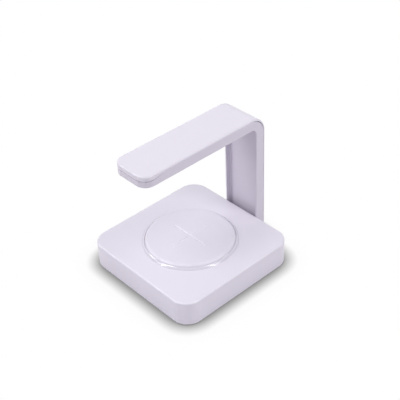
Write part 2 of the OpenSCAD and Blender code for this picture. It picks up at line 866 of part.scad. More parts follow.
base_top_cover();
base_bottom_cover();
anti_slip_mat();
base_screws();
charging_pad();
pad_ring();
coil_carrier();
ferrite_sheet();
charging_coil();
coil_leads();
main_board();
board_screws();
control_chip();
power_inductor();
tuning_capacitor(1);  // tuning_capacitor_1
tuning_capacitor(2);  // tuning_capacitor_2
tuning_capacitor(3);  // tuning_capacitor_3
tuning_capacitor(4);  // tuning_capacitor_4
usb_inlet_shell();
usb_inlet_tongue();
tact_switch();
switch_plunger();
power_button();
lamp_socket();
lamp_plug();
lamp_ribbon();
arm_outer_shell();
arm_inner_frame();
arm_mount_block();
arm_nut_plate();
arm_screws();
uv_board();
uv_led(1);  // uv_led_1
uv_led(2);  // uv_led_2
uv_led(3);  // uv_led_3
uv_led(4);  // uv_led_4
lamp_window();
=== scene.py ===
"""Looks of a square wireless charging base with a lamp arm over its pad.

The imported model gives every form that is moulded, cut or turned. This script adds the small
things that only the eye needs, gives each piece its finish, and sets up light and camera.
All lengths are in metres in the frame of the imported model.
"""

import json
import logging
import math
from collections.abc import Callable
from dataclasses import dataclass, field, fields
from enum import Enum, IntEnum

import bpy
from mathutils import Matrix, Vector

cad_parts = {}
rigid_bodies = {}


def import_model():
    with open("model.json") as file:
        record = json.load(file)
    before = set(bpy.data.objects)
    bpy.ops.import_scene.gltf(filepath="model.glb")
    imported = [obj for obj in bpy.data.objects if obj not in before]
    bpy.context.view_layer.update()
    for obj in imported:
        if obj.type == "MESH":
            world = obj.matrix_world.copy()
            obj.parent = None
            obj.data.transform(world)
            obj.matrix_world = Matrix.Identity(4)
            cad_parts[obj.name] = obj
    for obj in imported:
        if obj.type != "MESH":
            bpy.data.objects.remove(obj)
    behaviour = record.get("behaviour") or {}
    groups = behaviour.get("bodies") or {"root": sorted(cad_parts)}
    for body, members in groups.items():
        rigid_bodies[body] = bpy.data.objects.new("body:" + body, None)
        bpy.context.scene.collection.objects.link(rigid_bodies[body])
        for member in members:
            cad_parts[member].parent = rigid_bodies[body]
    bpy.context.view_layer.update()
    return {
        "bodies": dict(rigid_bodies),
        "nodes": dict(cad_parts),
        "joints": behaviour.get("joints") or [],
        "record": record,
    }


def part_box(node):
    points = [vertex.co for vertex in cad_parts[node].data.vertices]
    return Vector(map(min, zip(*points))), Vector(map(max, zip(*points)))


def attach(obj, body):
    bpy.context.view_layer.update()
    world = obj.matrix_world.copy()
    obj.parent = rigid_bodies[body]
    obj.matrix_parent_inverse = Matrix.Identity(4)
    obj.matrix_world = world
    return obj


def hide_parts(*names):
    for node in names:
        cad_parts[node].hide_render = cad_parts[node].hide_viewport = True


LOG = logging.getLogger("charger")
MM = 0.001
CLEAR = 0.1 * MM  # what lies further than this from a plane is clear of it
TOUCH = 0.01 * MM  # what lies nearer than this to a plane is on it
WELD = 0.002 * MM  # points nearer than this become one
STRAIGHT = 0.9  # cosine above which a direction runs along an axis
ACROSS = 0.1  # cosine below which a direction runs across an axis
RAMP_ENDS = (0.3, 0.7)  # part of a pattern's range over which its colour changes
WAVE_RATE = 20.0  # radians to the metre of a wave pattern at scale 1
SEEN = ("Is Camera Ray", "Is Glossy Ray", "Is Transmission Ray")

Colour = tuple[float, float, float]
Point = tuple[float, float, float]
Pair = tuple[float, float]
Node = bpy.types.Node
Piece = bpy.types.Object
Materials = dict[str, bpy.types.Material]
Test = Callable[[Vector, Vector], bool]


class Body(Enum):
    """The two rigid bodies of the part."""

    CHARGER = "charger"
    BUTTON = "button"


class Gloss(Enum):
    """Roughness of a moulded surface, from the polish of its tool."""

    POLISHED = 0.09
    SATIN = 0.34
    SOFT = 0.43
    MATT = 0.55


class Axis(IntEnum):
    """Axes of the frame: to the right, to the back and up."""

    X = 0
    Y = 1
    Z = 2


# Node graphs


def maths(tree: bpy.types.NodeTree, operation: str, second: float | None = None) -> Node:
    """Adds a Math node.

    Args:
        tree: the node tree.
        operation: what the node works out.
        second: its second value, where no other node gives it.

    Returns:
        The node, whose output is Value.
    """
    node = tree.nodes.new("ShaderNodeMath")
    node.operation = operation
    if second is not None:
        node.inputs[1].default_value = second
    return node


def total(tree: bpy.types.NodeTree, node: Node, outs: tuple[str, ...]) -> Node:
    """Adds up several outputs of one node, limited to 1.

    Args:
        tree: the node tree.
        node: node that gives the values.
        outs: names of its outputs.

    Returns:
        The last adding node, whose output is Value.
    """
    last, out = node, outs[0]
    for name in outs[1:]:
        add = maths(tree, "ADD")
        add.use_clamp = True
        tree.links.new(last.outputs[out], add.inputs[0])
        tree.links.new(node.outputs[name], add.inputs[1])
        last, out = add, "Value"
    return last


@dataclass
class Graph:
    """A material's node tree with short ways to add and join nodes."""

    material: bpy.types.Material
    tree: bpy.types.NodeTree = field(init=False)
    output: Node = field(init=False)
    shader: Node = field(init=False)

    def __post_init__(self) -> None:
        """Clears the tree and starts it with an output and a surface shader."""
        self.material.use_nodes = True
        self.tree = self.material.node_tree
        self.tree.nodes.clear()
        self.output = self.tree.nodes.new("ShaderNodeOutputMaterial")
        self.shader = self.tree.nodes.new("ShaderNodeBsdfPrincipled")
        self.join(self.shader, "BSDF", self.output, "Surface")

    def join(self, a: Node, out: str, b: Node, into: str | int) -> None:
        """Links an output socket to an input socket.

        Args:
            a: node that gives the value.
            out: name of its output.
            b: node that takes the value.
            into: name or index of its input.
        """
        self.tree.links.new(a.outputs[out], b.inputs[into])

    def place(self, scale: Point = (1.0, 1.0, 1.0)) -> Node:
        """Object coordinates through a mapping.

        Args:
            scale: stretch of the pattern along each axis.

        Returns:
            The mapping node.
        """
        coordinate = self.tree.nodes.new("ShaderNodeTexCoord")
        mapping = self.tree.nodes.new("ShaderNodeMapping")
        mapping.inputs["Scale"].default_value = scale
        self.join(coordinate, "Object", mapping, "Vector")
        return mapping

    def noise(self, scale: float, detail: float = 2.0, stretch: Point = (1.0, 1.0, 1.0)) -> Node:
        """A noise pattern on object coordinates.

        Args:
            scale: patches per metre.
            detail: octaves.
            stretch: stretch of the pattern along each axis.

        Returns:
            The noise node, whose output is Fac.
        """
        node = self.tree.nodes.new("ShaderNodeTexNoise")
        node.inputs["Scale"].default_value = scale
        node.inputs["Detail"].default_value = detail
        self.join(self.place(stretch), "Vector", node, "Vector")
        return node

    def wave(self, pitch: float) -> Node:
        """A wave pattern on object coordinates.

        Args:
            pitch: length after which the pattern repeats.

        Returns:
            The wave node, whose output is Fac.
        """
        node = self.tree.nodes.new("ShaderNodeTexWave")
        node.inputs["Scale"].default_value = math.tau / WAVE_RATE / pitch
        self.join(self.place(), "Vector", node, "Vector")
        return node

    def polish(self, source: Node, low: float, high: float) -> None:
        """Varies the roughness between two values by a pattern.

        Args:
            source: node that gives the pattern as Fac.
            low: roughness at 0.
            high: roughness at 1.
        """
        node = self.tree.nodes.new("ShaderNodeMapRange")
        node.inputs["To Min"].default_value = low
        node.inputs["To Max"].default_value = high
        self.join(source, "Fac", node, "Value")
        self.join(node, "Result", self.shader, "Roughness")

    def tint(self, source: Node, out: str, low: Colour, high: Colour) -> None:
        """Colours the surface between two colours by a pattern.

        Args:
            source: node that gives the pattern.
            out: name of its output.
            low: colour at the low end.
            high: colour at the high end.
        """
        node = self.tree.nodes.new("ShaderNodeValToRGB")
        first, last = node.color_ramp.elements
        first.position, last.position = RAMP_ENDS
        first.color = (*low, 1.0)
        last.color = (*high, 1.0)
        self.join(source, out, node, "Fac")
        self.join(node, "Color", self.shader, "Base Color")

    def bump(self, source: Node, out: str, height: float, strength: float) -> None:
        """Turns a pattern into relief on the shader's normal.

        Args:
            source: node that gives the height.
            out: name of its output.
            height: height of the relief in metres.
            strength: share of the relief that shows.
        """
        node = self.tree.nodes.new("ShaderNodeBump")
        node.inputs["Distance"].default_value = height
        node.inputs["Strength"].default_value = strength
        self.join(source, out, node, "Height")
        self.join(node, "Normal", self.shader, "Normal")

    def set(self, **values: float | Colour) -> None:
        """Sets plain values on the shader's own sockets.

        Args:
            values: socket names with _ for a space.
        """
        for name, value in values.items():
            socket = self.shader.inputs[name.replace("_", " ")]
            socket.default_value = (*value, 1.0) if isinstance(value, tuple) else value


# Finishes


@dataclass(frozen=True)
class Finish:
    """Base of every finish: a colour and a way to build its material."""

    colour: Colour

    def shades(self, *factors: float) -> list[Colour]:
        """Darker and lighter copies of the colour."""
        return [tuple(min(1.0, channel * factor) for channel in self.colour) for factor in factors]

    def build(self, name: str) -> bpy.types.Material:
        """Builds the material.

        Args:
            name: name of the material.

        Returns:
            The new material.
        """
        graph = Graph(bpy.data.materials.new(name))
        self.fill(graph)
        return graph.material

    def fill(self, graph: Graph) -> None:
        """Adds the finish's nodes to an empty graph."""
        raise NotImplementedError


@dataclass(frozen=True)
class MouldedPlastic(Finish):
    """Injection-moulded plastic with the fine grain of a spark-eroded tool."""

    gloss: Gloss = Gloss.SATIN
    grain: float = 0.02 * MM
    grain_scale: float = 5200.0
    relief: float = 0.25
    tone: float = 0.012
    tone_scale: float = 38.0
    uneven: float = 0.04

    def fill(self, graph: Graph) -> None:
        """Adds slow tone, grain relief and a roughness that varies a little.

        Args:
            graph: the material's graph.
        """
        graph.tint(graph.noise(self.tone_scale), "Fac", *self.shades(1 - self.tone, 1.0))
        fine = graph.noise(self.grain_scale)
        graph.polish(fine, self.gloss.value - self.uneven, self.gloss.value + self.uneven)
        graph.bump(fine, "Fac", self.grain, self.relief)


@dataclass(frozen=True)
class SoftRubber(Finish):
    """Matt silicone with a dusty grain."""

    grain: float = 0.04 * MM
    grain_scale: float = 2600.0
    relief: float = 0.5
    mottle: Pair = (0.93, 1.05)
    roughness: Pair = (0.68, 0.86)

    def fill(self, graph: Graph) -> None:
        """Adds mottled tone and a dull relief.

        Args:
            graph: the material's graph.
        """
        fine = graph.noise(self.grain_scale, 4.0)
        graph.tint(fine, "Fac", *self.shades(*self.mottle))
        graph.polish(fine, *self.roughness)
        graph.bump(fine, "Fac", self.grain, self.relief)


@dataclass(frozen=True)
class DrawnMetal(Finish):
    """Metal with fine marks along one direction."""

    roughness: float = 0.28
    along: Point = (1.0, 0.05, 1.0)
    marks: float = 0.01 * MM
    marks_scale: float = 5200.0
    relief: float = 0.3
    mottle: Pair = (0.92, 1.04)
    uneven: Pair = (0.06, 0.08)

    def fill(self, graph: Graph) -> None:
        """Adds drawn lines to the colour, the roughness and the relief.

        Args:
            graph: the material's graph.
        """
        lines = graph.noise(self.marks_scale, stretch=self.along)
        graph.tint(lines, "Fac", *self.shades(*self.mottle))
        graph.polish(lines, self.roughness - self.uneven[0], self.roughness + self.uneven[1])
        graph.bump(lines, "Fac", self.marks, self.relief)
        graph.set(Metallic=1.0)


@dataclass(frozen=True)
class Enamelled(Finish):
    """Enamelled copper wire wound in rings."""

    pitch: float = 0.6 * math.tau * MM
    wander: float = 0.4
    strand: float = 0.04 * MM
    relief: float = 0.4
    mottle: Pair = (0.8, 1.08)

    def fill(self, graph: Graph) -> None:
        """Adds bundles of strands that run round the winding.

        Args:
            graph: the material's graph.
        """
        rings = graph.wave(self.pitch)
        rings.wave_type = "RINGS"
        rings.rings_direction = "Z"
        rings.inputs["Distortion"].default_value = self.wander
        graph.tint(rings, "Fac", *self.shades(*self.mottle))
        graph.bump(rings, "Fac", self.strand, self.relief)
        graph.set(Metallic=0.85, Roughness=0.3, Coat_Weight=0.4, Coat_Roughness=0.2)


@dataclass(frozen=True)
class FlatCable(Finish):
    """Flat cable whose conductors show through its white film."""

    pitch: float = 1.0 * MM
    copper: Colour = (0.62, 0.5, 0.42)
    ridge: float = 0.05 * MM
    relief: float = 0.5

    def fill(self, graph: Graph) -> None:
        """Adds lengthwise conductors as colour and relief.

        Args:
            graph: the material's graph.
        """
        bands = graph.wave(self.pitch)
        bands.bands_direction = "X"
        graph.tint(bands, "Fac", self.colour, self.copper)
        graph.bump(bands, "Fac", self.ridge, self.relief)
        graph.set(Roughness=0.45, Coat_Weight=0.2, Coat_Roughness=0.2)


@dataclass(frozen=True)
class SolderMask(Finish):
    """Lacquered circuit board with bundles of faint tracks under the lacquer."""

    track: Colour = (0.04, 0.21, 0.11)
    cells: float = 900.0
    share: float = 0.42
    randomness: float = 0.35
    stretch: float = 0.06
    patches: float = 180.0
    copper: float = 0.03 * MM
    relief: float = 0.3

    def tracks(self, graph: Graph, stretch: Point) -> Node:
        """Bundles of tracks along one direction.

        Args:
            graph: the material's graph.
            stretch: stretch that draws the pattern out along the tracks.

        Returns:
            A node whose Value is 1 on a track.
        """
        cells = graph.tree.nodes.new("ShaderNodeTexVoronoi")
        cells.distance = "CHEBYCHEV"
        cells.feature = "F1"
        cells.inputs["Scale"].default_value = self.cells
        cells.inputs["Randomness"].default_value = self.randomness
        graph.join(graph.place(stretch), "Vector", cells, "Vector")
        line = maths(graph.tree, "LESS_THAN", self.share / 2)
        graph.join(cells, "Distance", line, 0)
        return line

    def fill(self, graph: Graph) -> None:
        """Adds tracks both ways, chosen by slow patches, as colour and relief.

        Args:
            graph: the material's graph.
        """
        choose = maths(graph.tree, "GREATER_THAN", 0.5)
        graph.join(graph.noise(self.patches, 0.0), "Fac", choose, 0)
        mix = graph.tree.nodes.new("ShaderNodeMix")
        graph.join(choose, "Value", mix, "Factor")
        graph.join(self.tracks(graph, (self.stretch, 1.0, 1.0)), "Value", mix, "A")
        graph.join(self.tracks(graph, (1.0, self.stretch, 1.0)), "Value", mix, "B")
        graph.tint(mix, "Result", self.colour, self.track)
        graph.bump(mix, "Result", self.copper, self.relief)
        graph.set(Roughness=0.3, Coat_Weight=0.3, Coat_Roughness=0.15)


@dataclass(frozen=True)
class PressedPowder(Finish):
    """Ferrite, resin or ceramic: a dense body with a fine speckle."""

    roughness: float = 0.5
    speckle: float = 0.12
    uneven: float = 0.08
    grain: float = 0.02 * MM
    grain_scale: float = 4200.0
    relief: float = 0.4

    def fill(self, graph: Graph) -> None:
        """Adds a speckle of two tones and a fine relief.

        Args:
            graph: the material's graph.
        """
        fine = graph.noise(self.grain_scale, 3.0)
        graph.tint(fine, "Fac", *self.shades(1 - self.speckle, 1 + self.speckle))
        graph.polish(fine, self.roughness - self.uneven, self.roughness + self.uneven)
        graph.bump(fine, "Fac", self.grain, self.relief)


@dataclass(frozen=True)
class ClearCover(Finish):
    """Clear cover that lets the lamp through."""

    flow_scale: float = 900.0
    flow: float = 0.015
    roughness: Pair = (0.03, 0.07)

    def fill(self, graph: Graph) -> None:
        """Adds clear transmission with a slightly uneven polish.

        Args:
            graph: the material's graph.
        """
        fine = graph.noise(self.flow_scale)
        graph.polish(fine, *self.roughness)
        graph.tint(fine, "Fac", *self.shades(1 - self.flow, 1.0))
        graph.set(Transmission_Weight=0.9, IOR=1.46)


@dataclass(frozen=True)
class Palette:
    """All finishes of the part, those of the record's material slots first."""

    housing_white: Finish = MouldedPlastic((0.785, 0.76, 0.845))
    pad_white: Finish = MouldedPlastic((0.772, 0.748, 0.832), Gloss.SOFT)
    ring_gloss: Finish = MouldedPlastic((0.715, 0.69, 0.77), Gloss.POLISHED, 0.004 * MM)
    mat_rubber: Finish = SoftRubber((0.46, 0.46, 0.48))
    inner_plastic: Finish = MouldedPlastic((0.66, 0.66, 0.68), Gloss.MATT)
    screw_steel: Finish = DrawnMetal((0.56, 0.57, 0.59), 0.34)
    inlet_steel: Finish = DrawnMetal((0.64, 0.65, 0.67), 0.24)
    ferrite: Finish = PressedPowder((0.05, 0.05, 0.055), 0.55)
    copper_wire: Finish = Enamelled((0.72, 0.36, 0.18))
    board_green: Finish = SolderMask((0.03, 0.16, 0.08))
    chip_black: Finish = PressedPowder((0.03, 0.03, 0.033), 0.42)
    capacitor_tan: Finish = PressedPowder((0.45, 0.33, 0.2), 0.4, 0.06)
    ribbon_white: Finish = FlatCable((0.74, 0.74, 0.75))
    lamp_board_white: Finish = SolderMask((0.76, 0.76, 0.74), (0.73, 0.73, 0.71))
    diode_yellow: Finish = PressedPowder((0.75, 0.68, 0.3), 0.3, 0.05)
    window_clear: Finish = ClearCover((0.9, 0.94, 0.98))
    # darker copy of the housing white: painted shade that dims the arm's side walls
    frame_white: Finish = MouldedPlastic((0.69, 0.656, 0.745))
    # darker copy of the housing white: painted shade that dims the arm's top and nose
    shell_white: Finish = MouldedPlastic((0.75, 0.727, 0.805))
    contact_gold: Finish = DrawnMetal((0.83, 0.62, 0.27), 0.2)
    solder_tin: Finish = DrawnMetal((0.66, 0.67, 0.68), 0.3, (1.0, 1.0, 1.0))
    ceramic_white: Finish = PressedPowder((0.78, 0.77, 0.72), 0.45, 0.03)
    dome_clear: Finish = ClearCover((0.96, 0.97, 0.98))

    def dress(self, frame: dict) -> Materials:
        """Builds each finish and gives it to the nodes of its slot.


        Returns:
            The materials by name.
        """
        made = {row.name: getattr(self, row.name).build(row.name) for row in fields(self)}
        # the arm's frame and shell take darker copies of the housing white, which paint shade on
        # the arm
        own = {"arm_inner_frame": "frame_white", "arm_outer_shell": "shell_white"}
        for row in frame["record"]["subparts"]:
            mesh = frame["nodes"][row["node"]].data
            mesh.materials.clear()
            mesh.materials.append(made[own.get(row["node"], row["material_slot"])])
        return made


# Bench


def mode(name: str) -> None:
    """Switches to a mode, EDIT or OBJECT."""
    bpy.ops.object.mode_set(mode=name)


def deselect() -> None:
    """Deselects everything, so that an operator acts only on the new piece."""
    if bpy.context.object is not None and bpy.context.object.mode != "OBJECT":
        mode("OBJECT")
    bpy.ops.object.select_all(action="DESELECT")


def settle() -> None:
    """Puts the place of the selected piece into its mesh."""
    bpy.ops.object.transform_apply(location=True, rotation=True, scale=True)


def facing(axis: Axis, sign: int) -> Test:
    """A test for faces that look forwards (1) or backwards (-1) along an axis."""
    return lambda middle, normal: normal[axis] * sign > STRAIGHT


@dataclass
class Bench:
    """Shapes one new piece in edit mode, as by hand."""

    name: str
    piece: Piece = field(init=False)

    def adopt(self) -> None:
        """Names the new primitive and puts its place into its mesh."""
        self.piece = bpy.context.active_object
        self.piece.name = self.name
        self.piece.data.name = self.name
        settle()

    def block(self, low: Point, high: Point) -> None:
        """Starts from a block.

        Args:
            low: lowest corner.
            high: highest corner.
        """
        deselect()
        middle = [(a + b) / 2 for a, b in zip(low, high)]
        bpy.ops.mesh.primitive_cube_add(size=1.0, location=middle)
        bpy.context.active_object.scale = [b - a for a, b in zip(low, high)]
        self.adopt()

    def drum(self, centre: Point, radius: float, depth: float, sides: int = 48) -> None:
        """Starts from a drum whose axis runs front to back.

        Args:
            centre: its centre.
            radius: its radius.
            depth: its length.
            sides: sides of the round.
        """
        deselect()
        bpy.ops.mesh.primitive_cylinder_add(
            vertices=sides, radius=radius, depth=depth, location=centre,
            rotation=(math.pi / 2, 0.0, 0.0))
        self.adopt()

    def turned(self, centre: Point, profile: list[Pair], steps: int = 24) -> None:
        """Spins a profile round an upright axis.

        Args:
            centre: point on the axis at height 0 of the profile.
            profile: (radius, height) pairs that begin and end on the axis or at one point.
            steps: sides of the round.
        """
        deselect()
        bpy.ops.mesh.primitive_plane_add(size=MM, location=centre)
        self.adopt()
        mode("EDIT")
        bpy.ops.mesh.select_mode(type="VERT")
        bpy.ops.mesh.select_all(action="SELECT")
        bpy.ops.mesh.merge(type="CENTER")
        at = (0.0, 0.0)
        for number, point in enumerate(profile):
            step = (point[0] - at[0], 0.0, point[1] - at[1])
            if number:
                bpy.ops.mesh.extrude_vertices_move(TRANSFORM_OT_translate={"value": step})
            else:
                self.shift(step)
            at = point
        bpy.ops.mesh.select_all(action="SELECT")
        bpy.ops.mesh.spin(steps=steps, angle=math.tau, center=centre, axis=(0.0, 0.0, 1.0))
        bpy.ops.mesh.select_all(action="SELECT")
        bpy.ops.mesh.remove_doubles(threshold=WELD)
        bpy.ops.mesh.normals_make_consistent(inside=False)

    def faces(self, test: Test) -> None:
        """Selects faces, and nothing else.

        Args:
            test: says yes or no to a face's centre and normal.
        """
        self.clear("FACE")
        for face in self.piece.data.polygons:
            face.select = test(face.center, face.normal)
        mode("EDIT")

    def edges(self, test: Test) -> None:
        """Selects edges, and nothing else.

        Args:
            test: says yes or no to an edge's middle and direction.
        """
        self.clear("EDGE")
        corners = self.piece.data.vertices
        for edge in self.piece.data.edges:
            a, b = (corners[index].co for index in edge.vertices)
            edge.select = test((a + b) / 2, (b - a).normalized())
        mode("EDIT")

    def points(self, test: Callable[[Vector], bool]) -> None:
        """Selects corners, and nothing else.

        Args:
            test: says yes or no to a corner's place.
        """
        self.clear("VERT")
        for corner in self.piece.data.vertices:
            corner.select = test(corner.co)
        mode("EDIT")

    def clear(self, kind: str) -> None:
        """Sets the kind of selection and empties it, and leaves edit mode.

        Args:
            kind: VERT, EDGE or FACE.
        """
        mode("EDIT")
        bpy.ops.mesh.select_mode(type=kind)
        bpy.ops.mesh.select_all(action="DESELECT")
        mode("OBJECT")

    def push(self, step: Point) -> None:
        """Extrudes the selected faces along a step."""
        bpy.ops.mesh.extrude_region_move(TRANSFORM_OT_translate={"value": step})

    def inset(self, width: float) -> None:
        """Sets the outline of the selected faces in by a width."""
        bpy.ops.mesh.inset(thickness=width)

    def shift(self, step: Point) -> None:
        """Moves what is selected."""
        bpy.ops.transform.translate(value=step)

    def size(self, factors: Point, centre: Point) -> None:
        """Scales what is selected about a centre."""
        bpy.ops.transform.resize(value=factors, center_override=centre)

    def soften(self, width: float, segments: int = 2) -> None:
        """Rounds what is selected.

        Args:
            width: width of the rounding.
            segments: faces across it.
        """
        bpy.ops.mesh.bevel(offset=width, segments=segments, affect="EDGES")

    def finish(self, smooth: float = 35.0) -> Piece:
        """Leaves edit mode and smooths the shallow edges.

        Args:
            smooth: edges below this angle in degrees look smooth.

        Returns:
            The finished piece.
        """
        mode("OBJECT")
        bpy.ops.object.shade_smooth_by_angle(angle=math.radians(smooth))
        return self.piece


def copies(piece: Piece, steps: list[Point]) -> list[Piece]:
    """Copies a finished piece to other places, each copy with its own mesh.

    Args:
        piece: the piece to copy.
        steps: how far each copy lies from it.

    Returns:
        The piece and its copies.
    """
    made = [piece]
    for step in steps:
        deselect()
        piece.select_set(True)
        bpy.context.view_layer.objects.active = piece
        bpy.ops.object.duplicate(linked=False)
        bpy.ops.transform.translate(value=step)
        settle()
        made.append(bpy.context.active_object)
    return made


def turned_copy(piece: Piece, centre: Vector) -> Piece:
    """Copies a piece and turns the copy half round an upright axis.

    Args:
        piece: the piece to copy.
        centre: point on the axis.

    Returns:
        The turned copy.
    """
    other = copies(piece, [(0.0, 0.0, 0.0)])[1]
    bpy.ops.transform.rotate(value=math.pi, orient_axis="Z", center_override=centre)
    settle()
    return other


def join(name: str, parts: list[Piece]) -> Piece:
    """Makes one piece of several.

    Args:
        name: name of the joined piece.
        parts: the parts, which become one mesh.

    Returns:
        The joined piece.
    """
    deselect()
    for part in parts:
        part.select_set(True)
    bpy.context.view_layer.objects.active = parts[0]
    bpy.ops.object.join()
    parts[0].name = name
    parts[0].data.name = name
    return parts[0]


@dataclass
class Assembly:
    """Base of every sub-assembly, which holds the materials by name."""

    made: Materials

    def build(self) -> None:
        """Builds and dresses the pieces."""
        raise NotImplementedError

    def dress(self, piece: Piece, finish: str, slot: str, body: Body = Body.CHARGER) -> None:
        """Gives a new piece its material and its body.

        Args:
            piece: the new piece.
            finish: name of its finish.
            slot: the record's slot that it belongs to; not used.
            body: the body that it rides on.
        """
        piece.data.materials.clear()
        piece.data.materials.append(self.made[finish])
        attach(piece, body.value)
        LOG.info("%s in %s on %s", piece.name, finish, body.value)


# Pad


@dataclass
class PadRing(Assembly):
    """Glossy ring at the pad's foot, with a slightly domed skirt down to the base."""

    flange_t: float = 1.2 * MM
    flange_w: float = 2.6 * MM
    width: float = 1.7 * MM
    rise: float = 1.5 * MM
    lip: float = 0.07 * MM
    start: float = 28.0
    end: float = 58.0
    steps: int = 8
    sides: int = 256

    def skirt(self, inner: float, outer: float) -> list[Pair]:
        """The skirt's arc from its outer foot up to the pad.

        Args:
            inner: radius of the ring's bore.
            outer: outer radius of the skirt.

        Returns:
            (radius, height above the base) pairs.
        """
        a, b = math.radians(self.start), math.radians(self.end)
        across, down = math.sin(b) - math.sin(a), math.cos(a) - math.cos(b)
        points = []
        for part in range(self.steps + 1):
            angle = b + (a - b) * part / self.steps
            points.append((
                inner + (outer - inner) * (math.sin(angle) - math.sin(a)) / across,
                self.rise * (math.cos(angle) - math.cos(b)) / down,
            ))
        return points

    def build(self) -> None:
        """Spins the ring's profile round the pad."""
        low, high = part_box("pad_ring")
        base = high.z - self.rise - low.z
        flange = high.x
        outer = flange - self.flange_w
        inner = outer - self.width
        profile = [(inner, 0.0), (flange, 0.0), (flange, self.flange_t), (outer, self.flange_t)]
        profile += [(radius, base + rise) for radius, rise in self.skirt(inner + self.lip, outer)]
        profile += [(inner, base + self.rise - self.lip), (inner, 0.0)]
        bench = Bench("pad_foot_ring")
        bench.turned((0.0, 0.0, low.z), profile, self.sides)
        ring = bench.finish(smooth=25.0)
        self.dress(ring, "ring_gloss", "ring_gloss")
        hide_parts("pad_ring")


# Lamp


@dataclass
class LampDiodes(Assembly):
    """Four diodes, each a ceramic package with a sunk well and a clear dome."""

    nodes: tuple[str, ...] = ("uv_led_1", "uv_led_2", "uv_led_3", "uv_led_4")
    proud: float = 0.28 * MM
    corner: float = 0.36 * MM
    rim: float = 0.3 * MM
    rim_round: float = 0.05 * MM
    well: float = 0.35 * MM
    taper: float = 0.86
    dome_r: float = 1.1 * MM
    dome_gap: float = 0.02 * MM
    plate_w: float = 1.0 * MM
    plate_t: float = 0.12 * MM
    plate_rim: float = 0.1 * MM
    plate_step: float = 0.03 * MM

    def package(self) -> Piece:
        """Models the package, open side down.

        Returns:
            The package.
        """
        low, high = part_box(self.nodes[0])
        edge_z = low.z + self.proud
        bench = Bench("diode_package_1")
        bench.block((low.x, low.y, edge_z), high)
        bench.edges(lambda middle, along: abs(along.z) > STRAIGHT)
        bench.soften(self.corner, 3)
        bench.faces(facing(Axis.Z, -1))
        bench.inset(self.rim)
        bench.push((0.0, 0.0, self.well))
        bench.size((self.taper, self.taper, 1.0), (low + high) / 2)
        bench.edges(lambda middle, along: abs(middle.z - edge_z) < TOUCH and abs(along.z) < ACROSS)
        bench.soften(self.rim_round)
        return bench.finish()

    def dome(self) -> Piece:
        """Models the clear dome in the well.

        Returns:
            The dome.
        """
        low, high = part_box(self.nodes[0])
        floor = self.proud + self.well
        rise = floor - self.dome_gap
        arc = [math.radians(angle) for angle in range(0, 90, 10)]
        profile = [(0.0, floor)]
        profile += [(self.dome_r * math.cos(a), floor - rise * math.sin(a)) for a in arc]
        profile += [(0.0, floor - rise)]
        bench = Bench("diode_dome_1")
        centre = (low + high) / 2
        bench.turned((centre.x, centre.y, low.z), profile)
        return bench.finish(smooth=50.0)

    def emitter(self) -> Piece:
        """Models the small emitter plate on the well's floor.

        Returns:
            The plate.
        """
        low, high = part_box(self.nodes[0])
        centre, half = (low + high) / 2, self.plate_w / 2
        top = low.z + self.proud + self.well
        bench = Bench("diode_emitter_1")
        bench.block(
            (centre.x - half, centre.y - half, top - self.plate_t),
            (centre.x + half, centre.y + half, top),
        )
        bench.faces(facing(Axis.Z, -1))
        bench.inset(self.plate_rim)
        bench.push((0.0, 0.0, -self.plate_step))
        return bench.finish()

    def build(self) -> None:
        """Builds the four diodes and hides the plain ones."""
        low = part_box(self.nodes[0])[0]
        steps = [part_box(node)[0] - low for node in self.nodes[1:]]
        packages = copies(self.package(), steps)
        emitters = copies(self.emitter(), steps)
        domes = copies(self.dome(), steps)
        for number, node in enumerate(self.nodes):
            for pieces, stem, finish, slot in (
                (packages, "package", "ceramic_white", "diode_yellow"),
                (emitters, "emitter", "diode_yellow", "diode_yellow"),
                (domes, "dome", "dome_clear", "window_clear"),
            ):
                pieces[number].name = f"diode_{stem}_{number + 1}"
                self.dress(pieces[number], finish, slot)
            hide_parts(node)


# Inlet and button


@dataclass
class InletContacts(Assembly):
    """Gold contacts on both faces of the inlet's tongue."""

    count: int = 12
    pitch: float = 0.5 * MM
    width: float = 0.26 * MM
    length: float = 3.6 * MM
    setback: float = 0.35 * MM
    thickness: float = 0.05 * MM
    tongue: float = 0.7 * MM
    nose: float = 0.12 * MM
    nose_size: Point = (0.7, 1.0, 0.4)
    edge: float = 0.03 * MM

    def build(self) -> None:
        """Models one contact and copies it along both faces."""
        low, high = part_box("usb_inlet_tongue")
        centre = (low + high) / 2
        first = centre.x - self.pitch * (self.count - 1) / 2
        front, top = high.y - self.setback, centre.z + self.tongue / 2
        bench = Bench("inlet_contacts")
        bench.block(
            (first - self.width / 2, front - self.length, top - self.thickness),
            (first + self.width / 2, front, top + self.thickness),
        )
        bench.faces(facing(Axis.Y, 1))
        bench.push((0.0, self.nose, 0.0))
        bench.size(self.nose_size, (first, front, top))
        bench.edges(lambda middle, along: abs(along.y) > STRAIGHT and middle.z > top)
        bench.soften(self.edge, 1)
        row = copies(bench.finish(), [(self.pitch * n, 0.0, 0.0) for n in range(1, self.count)])
        upper = join("inlet_contacts", row)
        lower = copies(upper, [(0.0, 0.0, -self.tongue)])[1]
        self.dress(join("inlet_contacts", [upper, lower]), "contact_gold", "inlet_steel")


